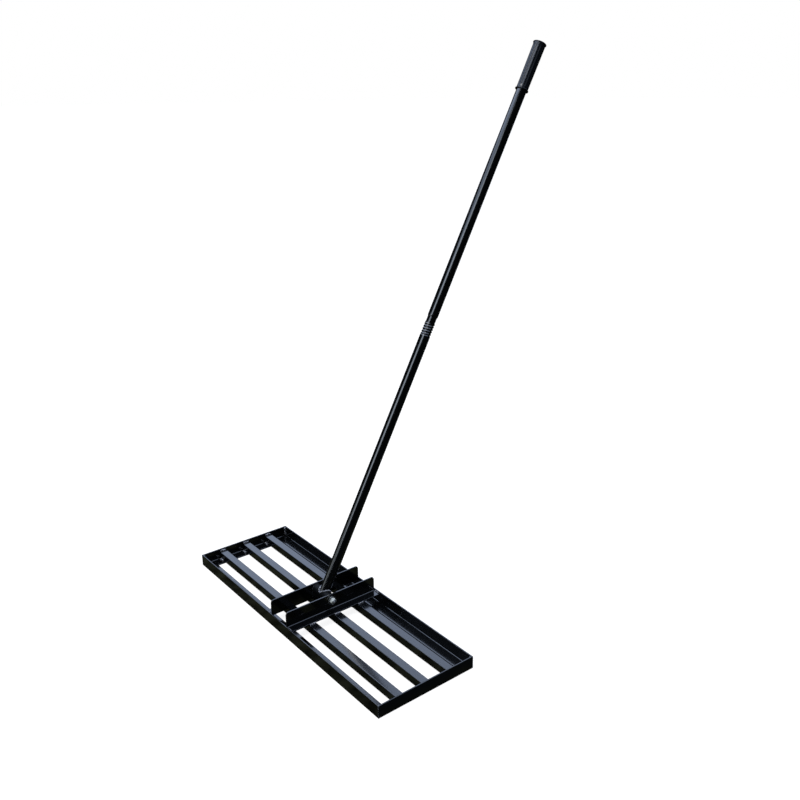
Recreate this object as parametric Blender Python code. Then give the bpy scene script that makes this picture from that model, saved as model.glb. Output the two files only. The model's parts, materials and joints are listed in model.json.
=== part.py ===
"""Lawn leveling rake.

A flat head of angle rails and square slats, welded together, is dragged and pushed over loose
soil. Two angle brackets stand on the slats and carry one bolt, and a two-section tube handle
swings on it.

Metres, +Z up, ground at z = 0. The head's long side lies along X. The handle leans towards +Y,
where the person who uses it stands. The origin is on the ground, below the middle of the whole
object.
"""

import math

import bmesh
import bpy
from mathutils import Matrix, Vector

# Head frame
HEAD_LENGTH = 0.762
HEAD_DEPTH = 0.254
RAIL_HEIGHT = 0.030
RAIL_FLANGE = 0.030
RAIL_WALL = 0.003

# Slats
SLAT_WIDTH = 0.020
SLAT_HEIGHT = 0.020
SLAT_WALL = 0.0015
SLAT_CORNER = 0.002
SLAT_PITCH = 0.068

# Handle brackets
BRACKET_SPREAD = 0.062
BRACKET_HEIGHT = 0.040
BRACKET_FLANGE = 0.025
BRACKET_WALL = 0.003
BRACKET_CORNER = 0.008
PIVOT_RISE = 0.0244

# Rounding of every rolled angle
ROOT_RADIUS = 0.002
TOE_RADIUS = 0.0006

# Pivot hardware
BOLT_DIAMETER = 0.008
BOLT_CHAMFER = 0.0008
BOLT_OVERHANG = 0.0025
BOLT_HEAD_HEIGHT = 0.0053
HEX_FLATS = 0.013
HEX_RIM = 0.0003
NUT_HEIGHT = 0.0065
NUT_COLLAR = 0.0015
NUT_COLLAR_WALL = 0.0016
WASHER_DIAMETER = 0.022
WASHER_THICKNESS = 0.0016
BUSH_FLANGE = 0.0015
BUSH_DEPTH = 0.012
SLEEVE_DIAMETER = 0.025
SLEEVE_WALL = 0.002

# Handle
HANDLE_LEAN = math.radians(28.44)
HANDLE_LENGTH = 1.389
TUBE_DIAMETER = 0.025
TUBE_WALL = 0.001
LOWER_PLAIN = 0.6545
THREAD_PITCH = 0.0062
THREAD_TURNS = 5.4
THREAD_DEPTH = 0.0011
NECK_LENGTH = 0.0145
SHOULDER_LENGTH = 0.006

# Grip
GRIP_LENGTH = 0.117
GRIP_FOOT_WALL = 0.00145
GRIP_TOP_WALL = 0.0022
GRIP_FLANGE_WALL = 0.0037
GRIP_FLANGE = 0.003
GRIP_ROUND = 0.0008
GRIP_END = 0.003
FLUTE_COUNT = 24
FLUTE_DEPTH = 0.0005
FLUTE_RUN_OUT = 0.003

# Weld beads, and how far short of the steel's edges they stop
BEAD_LEG = 0.004
BRACKET_BEAD_LEG = 0.0026
CORNER_BEAD_MARGIN = 0.0035
SLAT_BEAD_MARGIN = 0.0045
BRACKET_BEAD_MARGIN = 0.004
BEAD_TAPER = 0.18
BEAD_END_SIZE = 0.45
HANDLE_BEAD_RADIUS = 0.0026

# Clearances: between pieces that touch, and round the bolt in its holes
GAP = 0.0003
HOLE_CLEARANCE = 0.0005

# How far a cutting tool reaches past what it cuts
CUT_MARGIN = 0.004

# Names of like pieces, each with the side of the middle that it lies on
ENDS = {"left": -1, "right": 1}
ROWS = {"front": -1, "middle": 0, "rear": 1}

# How finely round shapes are divided
SIDES = 24
CORNER_STEPS = 2
ROOT_STEPS = 4
BRACKET_CORNER_STEPS = 6
BEAD_STEPS = 3
HANDLE_BEAD_SIDES = 8
THREAD_ROWS_PER_PITCH = 5
SHOULDER_STEPS = 4
SMOOTH_BELOW = math.radians(35)

# Where things lie, worked out from the sizes above
HALF_LENGTH = HEAD_LENGTH / 2
HALF_DEPTH = HEAD_DEPTH / 2
SLAT_BASE = RAIL_WALL + GAP
SLAT_TOP = SLAT_BASE + SLAT_HEIGHT
BRACKET_BASE = SLAT_TOP + GAP
PIVOT_HEIGHT = BRACKET_BASE + PIVOT_RISE
BRACKET_INSIDE = BRACKET_SPREAD / 2
BRACKET_OUTSIDE = BRACKET_INSIDE + BRACKET_WALL
WASHER_INNER = BRACKET_OUTSIDE + GAP
WASHER_OUTER = WASHER_INNER + WASHER_THICKNESS
CLAMP_FACE = WASHER_OUTER + GAP
BOLT_RADIUS = BOLT_DIAMETER / 2
BUSH_OUTER = BRACKET_INSIDE - GAP
BUSH_FACE = BUSH_OUTER - BUSH_FLANGE
SLEEVE_END = BUSH_FACE - GAP
SLEEVE_RADIUS = SLEEVE_DIAMETER / 2
TUBE_RADIUS = TUBE_DIAMETER / 2
LOWER_END = LOWER_PLAIN + THREAD_TURNS * THREAD_PITCH
NECK_RADIUS = TUBE_RADIUS - TUBE_WALL - GAP
SHOULDER_BASE = LOWER_END + NECK_LENGTH
GRIP_BASE = HANDLE_LENGTH - GRIP_LENGTH
GRIP_BORE = TUBE_RADIUS + GAP
GRIP_REACH = GRIP_BORE + GRIP_FLANGE_WALL
UPPER_END = HANDLE_LENGTH - GRIP_END - GAP
HANDLE_REACH = (
    (HANDLE_LENGTH - GRIP_ROUND) * math.sin(HANDLE_LEAN) + GRIP_REACH * math.cos(HANDLE_LEAN)
)
HEAD_Y = (HALF_DEPTH - max(HALF_DEPTH, HANDLE_REACH)) / 2


def clear_scene():
    for old in list(bpy.data.objects):
        bpy.data.objects.remove(old, do_unlink=True)


def finish(name, colour, roughness, metallic=0.0):
    """A plain painted, plated or moulded surface."""
    made = bpy.data.materials.new(name)
    made.use_nodes = True
    shader = made.node_tree.nodes["Principled BSDF"]
    shader.inputs["Base Color"].default_value = (*colour, 1.0)
    shader.inputs["Roughness"].default_value = roughness
    shader.inputs["Metallic"].default_value = metallic
    return made


def frame_point(name, place, lean=0.0):
    """An empty that a group of pieces hangs from."""
    empty = bpy.data.objects.new(name, None)
    bpy.context.collection.objects.link(empty)
    empty.location = place
    empty.rotation_euler = (-lean, 0, 0)
    return empty


def add_piece(name, bm, parent, look=None):
    """Turns a bmesh into an object that hangs from an empty."""
    bmesh.ops.recalc_face_normals(bm, faces=bm.faces)
    mesh = bpy.data.meshes.new(name)
    bm.to_mesh(mesh)
    bm.free()
    piece = bpy.data.objects.new(name, mesh)
    bpy.context.collection.objects.link(piece)
    piece.parent = parent
    if look:
        mesh.materials.append(look)
        mesh.shade_smooth()
        mesh.set_sharp_from_angle(angle=SMOOTH_BELOW)
    return piece


def cut(piece, tool, operation="DIFFERENCE"):
    """Leaves a live Boolean on a piece. The tool stays in the file as a wire outline."""
    tool.hide_render = True
    tool.display_type = "WIRE"
    step = piece.modifiers.new(operation.title(), "BOOLEAN")
    step.operation = operation
    step.solver = "EXACT"
    step.object = tool


def arc(centre, radius, start, end, steps):
    """Points on an arc, from one angle in degrees to another."""
    points = []
    for step in range(steps + 1):
        angle = math.radians(start + (end - start) * step / steps)
        points.append((centre[0] + radius * math.cos(angle), centre[1] + radius * math.sin(angle)))
    return points


def angle_outline(flange, height, wall):
    """Outline of a rolled angle: its flange along the first axis, its wall up the second."""
    toe = TOE_RADIUS
    root = wall + ROOT_RADIUS
    outline = arc((toe, toe), toe, 180, 270, CORNER_STEPS)
    outline += arc((flange - toe, toe), toe, 270, 360, CORNER_STEPS)
    outline += arc((flange - toe, wall - toe), toe, 0, 90, CORNER_STEPS)
    outline += arc((root, root), ROOT_RADIUS, 270, 180, ROOT_STEPS)
    outline += arc((wall - toe, height - toe), toe, 0, 90, CORNER_STEPS)
    outline += arc((toe, height - toe), toe, 90, 180, CORNER_STEPS)
    return outline


def box_outline(width, height, radius):
    """Outline of a box with round corners, centred."""
    across = width / 2 - radius
    up = height / 2 - radius
    outline = arc((across, up), radius, 0, 90, CORNER_STEPS)
    outline += arc((-across, up), radius, 90, 180, CORNER_STEPS)
    outline += arc((-across, -up), radius, 180, 270, CORNER_STEPS)
    outline += arc((across, -up), radius, 270, 360, CORNER_STEPS)
    return outline


def extrude_all(bm, faces, offset):
    grown = bmesh.ops.extrude_face_region(bm, geom=faces)
    moved = [item for item in grown["geom"] if isinstance(item, bmesh.types.BMVert)]
    bmesh.ops.translate(bm, verts=moved, vec=offset)


def bar(outline, length):
    """A centred prism along X, from an outline in the YZ plane."""
    bm = bmesh.new()
    start = bm.faces.new([bm.verts.new((-length / 2, *point)) for point in outline])
    extrude_all(bm, [start], (length, 0, 0))
    return bm


def value_at(size, angle):
    """A size that may be given as a number or as a rule that depends on the angle."""
    return size(angle) if callable(size) else size


def turned(rows, sides=SIDES, ring=False):
    """A body turned about Z, from rows of a height and a radius.

    Either may be a rule that depends on the angle. A ring joins its last row to its first. Any
    other body has both of its end rows on the axis.
    """
    bm = bmesh.new()
    loops = []
    for height, radius in rows:
        loop = []
        for side in range(1 if radius == 0 else sides):
            angle = 2 * math.pi * side / sides
            reach = value_at(radius, angle)
            place = (reach * math.cos(angle), reach * math.sin(angle), value_at(height, angle))
            loop.append(bm.verts.new(place))
        loops.append(loop)
    pairs = list(zip(loops, loops[1:]))
    if ring:
        pairs.append((loops[-1], loops[0]))
    for lower, upper in pairs:
        for side in range(sides):
            after = (side + 1) % sides
            corners = [lower[side % len(lower)], lower[after % len(lower)]]
            corners += [upper[after % len(upper)], upper[side % len(upper)]]
            bm.faces.new(list(dict.fromkeys(corners)))
    return bm


def along_x(bm):
    """Lays a body that was turned about Z along X, so that its heights become x."""
    bmesh.ops.rotate(bm, verts=bm.verts, matrix=Matrix.Rotation(math.pi / 2, 3, "Y"))
    return bm


def plug(radius, start, end):
    """A plain cylinder about Z."""
    return turned([(start, 0), (start, radius), (end, radius), (end, 0)])


# Head


def make_rail(name, length, place, turn, look, head):
    """An angle rail. Its ends are mitred, with a gap to the rails that they meet."""
    bm = bar(angle_outline(RAIL_FLANGE, RAIL_HEIGHT, RAIL_WALL), length)
    for vert in bm.verts:
        inset = vert.co.y + GAP / math.sqrt(2)
        vert.co.x = math.copysign(length / 2 - inset, vert.co.x)
    rail = add_piece(name, bm, head, look)
    rail.location = place
    rail.rotation_euler = (0, 0, turn)


def make_rails(look, head):
    make_rail("front_rail", HEAD_LENGTH, (0, -HALF_DEPTH, 0), 0, look, head)
    make_rail("rear_rail", HEAD_LENGTH, (0, HALF_DEPTH, 0), math.pi, look, head)
    make_rail("right_end_rail", HEAD_DEPTH, (HALF_LENGTH, 0, 0), math.pi / 2, look, head)
    make_rail("left_end_rail", HEAD_DEPTH, (-HALF_LENGTH, 0, 0), -math.pi / 2, look, head)


def make_slat(name, y, look, head):
    """A square tube that lies on the end rails' flanges. Its ends clear the rails' root fillets."""
    length = HEAD_LENGTH - 2 * (RAIL_WALL + ROOT_RADIUS)
    corner_inside = max(SLAT_CORNER - SLAT_WALL, SLAT_CORNER / 4)
    outer = box_outline(SLAT_WIDTH, SLAT_HEIGHT, SLAT_CORNER)
    inner = box_outline(SLAT_WIDTH - 2 * SLAT_WALL, SLAT_HEIGHT - 2 * SLAT_WALL, corner_inside)
    bm = bmesh.new()
    edges = []
    for outline in (outer, inner):
        verts = [bm.verts.new((-length / 2, *point)) for point in outline]
        edges += [bm.edges.new(pair) for pair in zip(verts, verts[1:] + verts[:1])]
    wall = bmesh.ops.bridge_loops(bm, edges=edges)["faces"]
    extrude_all(bm, wall, (length, 0, 0))
    slat = add_piece(name, bm, head, look)
    slat.location = (0, y, SLAT_BASE + SLAT_HEIGHT / 2)


def make_slats(look, head):
    for row, place in ROWS.items():
        make_slat(row + "_slat", place * SLAT_PITCH, look, head)


def make_bracket(name, side, look, head):
    """An angle laid across the slats, flange outwards, its web rounded off and drilled."""
    length = HEAD_DEPTH - 2 * (RAIL_WALL + GAP)
    blank = bar(angle_outline(BRACKET_FLANGE, BRACKET_HEIGHT, BRACKET_WALL), length + CUT_MARGIN)
    bracket = add_piece(name, blank, head, look)
    bracket.location = (side * BRACKET_INSIDE, 0, BRACKET_BASE)
    bracket.rotation_euler = (0, 0, -side * math.pi / 2)

    across = length / 2 - BRACKET_CORNER
    up = BRACKET_HEIGHT - BRACKET_CORNER
    template = arc((across, up), BRACKET_CORNER, 0, 90, BRACKET_CORNER_STEPS)
    template += arc((-across, up), BRACKET_CORNER, 90, 180, BRACKET_CORNER_STEPS)
    template += [(-length / 2, -CUT_MARGIN), (length / 2, -CUT_MARGIN)]
    outline = add_piece(name + "_outline", bar(template, 2 * BRACKET_FLANGE + CUT_MARGIN), head)
    outline.location = bracket.location
    cut(bracket, outline, "INTERSECT")

    reach = BRACKET_WALL + CUT_MARGIN
    drill = add_piece(
        name + "_hole", along_x(plug(BOLT_RADIUS + HOLE_CLEARANCE, -reach, reach)), head
    )
    drill.location = (side * BRACKET_INSIDE, 0, PIVOT_HEIGHT)
    cut(bracket, drill)


def make_brackets(look, head):
    for end, side in ENDS.items():
        make_bracket(end + "_bracket", side, look, head)


# Weld beads


def make_bead(name, middle, run, faces, leg, look, head):
    """A fillet bead in the corner of two faces, centred on a point of that corner.

    It runs along one vector, the bead's whole length, and is thinner at its ends. The faces are
    given by two directions away from the corner, one along each of them.
    """
    run = Vector(run)
    first, second = (Vector(face) for face in faces)
    corner = Vector(middle) + (first + second) * GAP
    section = [(0, 0)] + arc((0, 0), leg, 0, 90, BEAD_STEPS)
    full = 0.5 - BEAD_TAPER
    bm = bmesh.new()
    loops = []
    for share, size in ((-0.5, BEAD_END_SIZE), (-full, 1), (full, 1), (0.5, BEAD_END_SIZE)):
        loop = []
        for along, up in section:
            rise = (first * along + second * up) * size
            loop.append(bm.verts.new(corner + run * share + rise))
        loops.append(loop)
    for lower, upper in zip(loops, loops[1:]):
        for side in range(len(section)):
            after = (side + 1) % len(section)
            bm.faces.new((lower[side], lower[after], upper[after], upper[side]))
    bm.faces.new(loops[0])
    bm.faces.new(loops[-1])
    add_piece(name, bm, head, look)


def make_corner_welds(look, head):
    """Upright beads inside the four corners of the frame."""
    base = RAIL_WALL + ROOT_RADIUS
    middle = (base + RAIL_HEIGHT) / 2
    run = (0, 0, RAIL_HEIGHT - base - 2 * CORNER_BEAD_MARGIN)
    for end, x in ENDS.items():
        for row in ("front", "rear"):
            y = ROWS[row]
            name = f"{row}_{end}_corner_weld"
            place = (x * (HALF_LENGTH - RAIL_WALL), y * (HALF_DEPTH - RAIL_WALL), middle)
            faces = ((-x, 0, 0), (0, -y, 0))
            make_bead(name, place, run, faces, BEAD_LEG, look, head)


def make_slat_welds(look, head):
    """Beads on top of each slat's two ends, against the end rails' walls."""
    run = (0, SLAT_WIDTH - 2 * SLAT_BEAD_MARGIN, 0)
    for row, place in ROWS.items():
        for end, x in ENDS.items():
            name = f"{row}_slat_{end}_weld"
            corner = (x * (HALF_LENGTH - RAIL_WALL), place * SLAT_PITCH, SLAT_TOP)
            faces = ((-x, 0, 0), (0, 0, 1))
            make_bead(name, corner, run, faces, BEAD_LEG, look, head)


def make_bracket_welds(look, head):
    """Beads along the brackets' flange edges, one on each slat."""
    run = (0, SLAT_WIDTH - 2 * BRACKET_BEAD_MARGIN, 0)
    for end, x in ENDS.items():
        for row, place in ROWS.items():
            name = f"{end}_bracket_{row}_weld"
            corner = (x * (BRACKET_INSIDE + BRACKET_FLANGE), place * SLAT_PITCH, SLAT_TOP)
            faces = ((x, 0, 0), (0, 0, 1))
            make_bead(name, corner, run, faces, BRACKET_BEAD_LEG, look, head)


# Pivot


def hexagon(flats):
    """The radius of a hexagon at an angle."""
    def radius(angle):
        return flats / 2 / math.cos((angle + math.pi / 6) % (math.pi / 3) - math.pi / 6)
    return radius


def chamfer_line(end, flats, direction):
    """Where a 30 degree chamfer, which starts at a face, crosses the hexagon's flats."""
    radius = hexagon(flats)

    def height(angle):
        return end - direction * (radius(angle) - flats / 2) * math.tan(math.pi / 6)
    return height


def make_bolt(look, head):
    """The hexagon bolt that the handle swings on. Its head is on the left."""
    outer = -CLAMP_FACE - BOLT_HEAD_HEIGHT
    tip = CLAMP_FACE + NUT_HEIGHT + NUT_COLLAR + BOLT_OVERHANG
    rows = [
        (outer, 0),
        (outer, HEX_FLATS / 2 - HEX_RIM),
        (chamfer_line(outer, HEX_FLATS, -1), hexagon(HEX_FLATS)),
        (-CLAMP_FACE, hexagon(HEX_FLATS)),
        (-CLAMP_FACE, BOLT_RADIUS),
        (tip - BOLT_CHAMFER, BOLT_RADIUS),
        (tip, BOLT_RADIUS - BOLT_CHAMFER),
        (tip, 0),
    ]
    bolt = add_piece("pivot_bolt", along_x(turned(rows)), head, look)
    bolt.location = (0, 0, PIVOT_HEIGHT)


def make_nut(look, head):
    """A lock nut: a hexagon with a round collar that holds its nylon ring."""
    base = CLAMP_FACE
    shelf = base + NUT_HEIGHT
    top = shelf + NUT_COLLAR
    bore = BOLT_RADIUS + GAP
    collar = bore + NUT_COLLAR_WALL
    rows = [
        (base, bore),
        (base, HEX_FLATS / 2 - HEX_RIM),
        (chamfer_line(base, HEX_FLATS, -1), hexagon(HEX_FLATS)),
        (chamfer_line(shelf, HEX_FLATS, 1), hexagon(HEX_FLATS)),
        (shelf, collar),
        (top - BOLT_CHAMFER, collar),
        (top, collar - BOLT_CHAMFER),
        (top, bore),
    ]
    nut = add_piece("pivot_nut", along_x(turned(rows, ring=True)), head, look)
    nut.location = (0, 0, PIVOT_HEIGHT)


def make_washer(name, side, look, head):
    bore = BOLT_RADIUS + HOLE_CLEARANCE
    edge = WASHER_DIAMETER / 2
    start = side * WASHER_INNER
    end = side * WASHER_OUTER
    rows = [(start, bore), (start, edge), (end, edge), (end, bore)]
    washer = add_piece(name, along_x(turned(rows, ring=True)), head, look)
    washer.location = (0, 0, PIVOT_HEIGHT)


def make_bush(name, side, look, handle):
    """A flanged bush in the sleeve's end, with its flange against the bracket."""
    bore = BOLT_RADIUS + GAP
    body = SLEEVE_RADIUS - SLEEVE_WALL - GAP
    rows = [
        (side * BUSH_OUTER, bore),
        (side * BUSH_OUTER, SLEEVE_RADIUS),
        (side * BUSH_FACE, SLEEVE_RADIUS),
        (side * BUSH_FACE, body),
        (side * (BUSH_FACE - BUSH_DEPTH), body),
        (side * (BUSH_FACE - BUSH_DEPTH), bore),
    ]
    add_piece(name, along_x(turned(rows, ring=True)), handle, look)


def make_sleeve(look, handle):
    """The cross tube that the handle is welded to."""
    bore = SLEEVE_RADIUS - SLEEVE_WALL
    rows = [
        (-SLEEVE_END, bore),
        (-SLEEVE_END, SLEEVE_RADIUS),
        (SLEEVE_END, SLEEVE_RADIUS),
        (SLEEVE_END, bore),
    ]
    add_piece("pivot_sleeve", along_x(turned(rows, ring=True)), handle, look)


# Handle


def make_handle_weld(look, handle):
    """The bead round the handle's foot. It rides over the sleeve like a saddle."""
    path = TUBE_RADIUS + HANDLE_BEAD_RADIUS / 4
    crown = SLEEVE_RADIUS + HANDLE_BEAD_RADIUS / 2

    def bead_height(lift):
        return lambda angle: math.sqrt(crown ** 2 - (path * math.sin(angle)) ** 2) + lift

    rows = []
    for reach, lift in arc((0, 0), HANDLE_BEAD_RADIUS, 0, 360, HANDLE_BEAD_SIDES)[:-1]:
        rows.append((bead_height(lift), path + reach))
    bead = add_piece("handle_weld", turned(rows, ring=True), handle, look)
    tube = add_piece("handle_weld_tube", plug(TUBE_RADIUS + GAP, 0, SLEEVE_DIAMETER), handle)
    cut(bead, tube)
    sleeve = along_x(plug(SLEEVE_RADIUS + GAP, -SLEEVE_END, SLEEVE_END))
    cut(bead, add_piece("handle_weld_sleeve", sleeve, handle))


def rolled_radius(height, start, inset):
    """The tube's radius at a height in the rolled thread, as a rule that depends on the angle.

    The thread is a right-handed wave that fades in and out over its first and last half turn.
    """
    fade = min(height - start, LOWER_END - height) / (THREAD_PITCH / 2)
    depth = THREAD_DEPTH * max(0.0, min(1.0, fade))

    def radius(angle):
        wave = math.cos(2 * math.pi * (height - LOWER_PLAIN) / THREAD_PITCH - angle)
        return TUBE_RADIUS - inset - depth * (1 - wave) / 2
    return radius


def thread_rows(start, inset):
    """Rows up the rolled thread, on a surface that lies an inset inside the tube's outside."""
    step = THREAD_PITCH / THREAD_ROWS_PER_PITCH
    count = round((LOWER_END - start) / step)
    heights = [start + (LOWER_END - start) * row / count for row in range(count + 1)]
    return [(height, rolled_radius(height, LOWER_PLAIN, inset)) for height in heights]


def make_lower_tube(look, handle):
    """The lower section. Its foot is cut to the sleeve, and its top has a rolled thread."""
    outside = [(0, TUBE_RADIUS)] + thread_rows(LOWER_PLAIN, 0)
    inside = [(0, TUBE_RADIUS - TUBE_WALL)] + thread_rows(LOWER_PLAIN, TUBE_WALL)
    tube = add_piece("lower_tube", turned(outside + inside[::-1], ring=True), handle, look)
    sleeve = along_x(plug(SLEEVE_RADIUS + GAP, -SLEEVE_END, SLEEVE_END))
    cut(tube, add_piece("lower_tube_foot", sleeve, handle))


def shoulder_rows(inset):
    """Rows over the rounded shoulder, from the neck out to the full tube."""
    rise = TUBE_RADIUS - NECK_RADIUS
    rows = []
    for step in range(SHOULDER_STEPS + 1):
        angle = math.pi / 2 * step / SHOULDER_STEPS
        height = SHOULDER_BASE + SHOULDER_LENGTH * (1 - math.cos(angle))
        rows.append((height, NECK_RADIUS + rise * math.sin(angle) - inset))
    return rows


def make_upper_tube(look, handle):
    """The upper section. Its necked end screws into the lower section's thread."""
    start = LOWER_PLAIN + THREAD_PITCH / 2
    surfaces = []
    for inset in (0, TUBE_WALL):
        rows = thread_rows(start, TUBE_WALL + GAP + inset)
        rows += shoulder_rows(inset)
        rows.append((UPPER_END, TUBE_RADIUS - inset))
        surfaces.append(rows)
    outside, inside = surfaces
    add_piece("upper_tube", turned(outside + inside[::-1], ring=True), handle, look)


def fluted(radius):
    """The grip's radius at an angle, with shallow grooves that run along it."""
    return lambda angle: radius - FLUTE_DEPTH * (1 - math.cos(FLUTE_COUNT * angle)) / 2


def make_grip(look, handle):
    """A rubber sleeve that is closed at the top, with a flange at each end."""
    foot = GRIP_BORE + GRIP_FOOT_WALL
    crown = GRIP_BORE + GRIP_TOP_WALL
    ceiling = HANDLE_LENGTH - GRIP_END
    foot_flange = GRIP_BASE + GRIP_FLANGE
    top_flange = HANDLE_LENGTH - GRIP_FLANGE
    middle = (foot_flange + top_flange) / 2
    rows = [
        (ceiling, 0),
        (ceiling, GRIP_BORE),
        (GRIP_BASE, GRIP_BORE),
        (GRIP_BASE, GRIP_REACH - GRIP_ROUND),
        (GRIP_BASE + GRIP_ROUND, GRIP_REACH),
        (foot_flange - GRIP_ROUND, GRIP_REACH),
        (foot_flange, foot),
        (foot_flange + FLUTE_RUN_OUT, fluted(foot)),
        (middle, fluted((foot + crown) / 2)),
        (top_flange - FLUTE_RUN_OUT, fluted(crown)),
        (top_flange, crown),
        (top_flange + GRIP_ROUND, GRIP_REACH),
        (HANDLE_LENGTH - GRIP_ROUND, GRIP_REACH),
        (HANDLE_LENGTH, GRIP_REACH - GRIP_ROUND),
        (HANDLE_LENGTH, 0),
    ]
    add_piece("grip", turned(rows, sides=2 * FLUTE_COUNT), handle, look)


def main():
    clear_scene()
    black_paint = finish("black_paint", (0.012, 0.013, 0.015), 0.22)
    zinc = finish("zinc", (0.62, 0.63, 0.62), 0.35, 1.0)
    nylon = finish("nylon", (0.03, 0.03, 0.03), 0.5)
    rubber = finish("rubber", (0.045, 0.05, 0.06), 0.7)

    head = frame_point("head_middle", (0, HEAD_Y, 0))
    make_rails(black_paint, head)
    make_slats(black_paint, head)
    make_brackets(black_paint, head)
    make_corner_welds(black_paint, head)
    make_slat_welds(black_paint, head)
    make_bracket_welds(black_paint, head)
    make_bolt(zinc, head)
    make_nut(zinc, head)
    make_washer("head_washer", -1, zinc, head)
    make_washer("nut_washer", 1, zinc, head)

    handle = frame_point("handle_pivot", (0, HEAD_Y, PIVOT_HEIGHT), HANDLE_LEAN)
    make_sleeve(black_paint, handle)
    make_bush("left_bush", -1, nylon, handle)
    make_bush("right_bush", 1, nylon, handle)
    make_handle_weld(black_paint, handle)
    make_lower_tube(black_paint, handle)
    make_upper_tube(black_paint, handle)
    make_grip(rubber, handle)


main()
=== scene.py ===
"""The looks of a lawn leveling rake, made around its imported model.

Metres, +Z up. The head's long side lies along X, and the handle leans towards +Y.
"""

import json
import math
import random

import bmesh
import bpy
from mathutils import Matrix, Vector


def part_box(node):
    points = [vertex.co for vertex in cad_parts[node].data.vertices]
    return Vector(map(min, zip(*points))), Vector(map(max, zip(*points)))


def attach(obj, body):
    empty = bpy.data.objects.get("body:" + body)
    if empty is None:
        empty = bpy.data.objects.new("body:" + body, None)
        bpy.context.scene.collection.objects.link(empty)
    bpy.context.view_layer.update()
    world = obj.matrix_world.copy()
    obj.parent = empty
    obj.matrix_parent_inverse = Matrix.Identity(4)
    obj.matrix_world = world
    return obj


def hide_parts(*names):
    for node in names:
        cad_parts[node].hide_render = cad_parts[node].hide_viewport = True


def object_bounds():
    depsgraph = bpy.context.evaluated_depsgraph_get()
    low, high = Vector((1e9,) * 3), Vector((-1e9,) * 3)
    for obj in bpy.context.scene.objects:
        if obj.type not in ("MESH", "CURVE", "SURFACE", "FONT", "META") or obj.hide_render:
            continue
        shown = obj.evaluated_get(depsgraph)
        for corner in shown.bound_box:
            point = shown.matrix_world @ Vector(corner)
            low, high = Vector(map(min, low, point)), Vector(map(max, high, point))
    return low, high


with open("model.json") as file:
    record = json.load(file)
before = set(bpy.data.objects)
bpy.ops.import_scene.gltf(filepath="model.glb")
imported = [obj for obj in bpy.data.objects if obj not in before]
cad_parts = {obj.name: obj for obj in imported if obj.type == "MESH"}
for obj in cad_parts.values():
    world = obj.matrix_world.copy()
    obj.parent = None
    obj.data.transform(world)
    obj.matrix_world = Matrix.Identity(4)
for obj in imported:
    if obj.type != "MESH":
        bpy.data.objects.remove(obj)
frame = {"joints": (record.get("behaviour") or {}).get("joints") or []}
cad_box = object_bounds()


# Camera
# It stands in front of the rake and to its right, at the height of the grip, and looks down at
# the head.

camera_place = (1.5044, -1.2313, 1.1675)
camera_turn = (70.329, 0.434, 51.443)
camera_lens = 38.923

camera_data = bpy.data.cameras.new("camera")
camera_data.lens = camera_lens
camera = bpy.data.objects.new("camera", camera_data)
camera.location = camera_place
camera.rotation_euler = [math.radians(turn) for turn in camera_turn]
bpy.context.scene.collection.objects.link(camera)
bpy.context.scene.camera = camera
bpy.context.scene.view_settings.view_transform = "Standard"


# Studio
# A soft sky that leans over the rake from behind and is dark below its edge, and four soft boxes:
# two at the left of the camera, one above them and one over the front of the head. In the gloss
# the backdrop and the floor are dark, and painted shade darkens the floor to the right of the
# head, to keep the paint black.

sky_colour = (0.94, 1.13, 1.54, 1)
dark_colour = (0.006, 0.008, 0.008, 1)
ground_colours = ((0.006, 0.006, 0.001, 1), (0.046, 0.045, 0.022, 1))
ground_mottle = 22
mottle_range = (0.35, 0.65)
ground_edge = 0.02
sky_turn = math.radians(127)
sky_tilt = math.radians(16)
sky_edge = (0.55, 0.65)
white = (1, 1, 1, 1)
pale = (0.28, 0.26, 0.23, 1)
floor_size = 190
floor_glow = 0.86
backdrop_in_gloss = 0.005
soft_boxes = (
    ("low_box", (-2.30, -2.90, 0.30), (-0.30, -2.90, 1.25), 0.7, 0.9, (0.96, 1.06, 1.12)),
    ("tall_box", (-0.30, -2.90, 1.25), (2.00, -2.85, 4.30), 1.4, 2.5, (0.95, 1.08, 1.25)),
    ("wide_box", (-1.50, -2.20, 3.00), (-1.15, -1.80, 4.90), 5.0, 1.2, (0.86, 1.03, 1.35)),
    ("top_box", (0.1, -2.00, 4.90), (0.1, -1.15, 4.90), 3.2, 11.0, (1.00, 1.00, 1.00)),
)


class Wire:
    """A socket in a shader. Sums of wires and numbers add Math nodes to its tree."""

    def __init__(self, socket):
        self.socket = socket

    def node(self, kind, settings, inputs, output=0):
        """Adds a node of a kind, with its settings and then its inputs, and wires its output."""
        tree = self.socket.id_data
        made = tree.nodes.new("ShaderNode" + kind)
        for name, value in settings.items():
            setattr(made, name, value)
        for name, value in inputs.items():
            if isinstance(value, Wire):
                tree.links.new(value.socket, made.inputs[name])
            else:
                made.inputs[name].default_value = value
        return Wire(made.outputs[output])

    def __add__(self, other):
        return self.node("Math", {"operation": "ADD"}, {0: self, 1: other})

    def __radd__(self, other):
        return self.node("Math", {"operation": "ADD"}, {0: other, 1: self})

    def __sub__(self, other):
        return self.node("Math", {"operation": "SUBTRACT"}, {0: self, 1: other})

    def __rsub__(self, other):
        return self.node("Math", {"operation": "SUBTRACT"}, {0: other, 1: self})

    def __mul__(self, other):
        return self.node("Math", {"operation": "MULTIPLY"}, {0: self, 1: other})

    def __rmul__(self, other):
        return self.node("Math", {"operation": "MULTIPLY"}, {0: other, 1: self})


def source(tree, kind, output):
    """An output of a new node that has nothing before it."""
    return Wire(tree.nodes.new("ShaderNode" + kind).outputs[output])


def mixed(share, first, second):
    """A colour between two others, by a share of the second."""
    colours = {"Factor": share, 6: first, 7: second}
    return share.node("Mix", {"data_type": "RGBA"}, colours, output=2)


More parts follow.
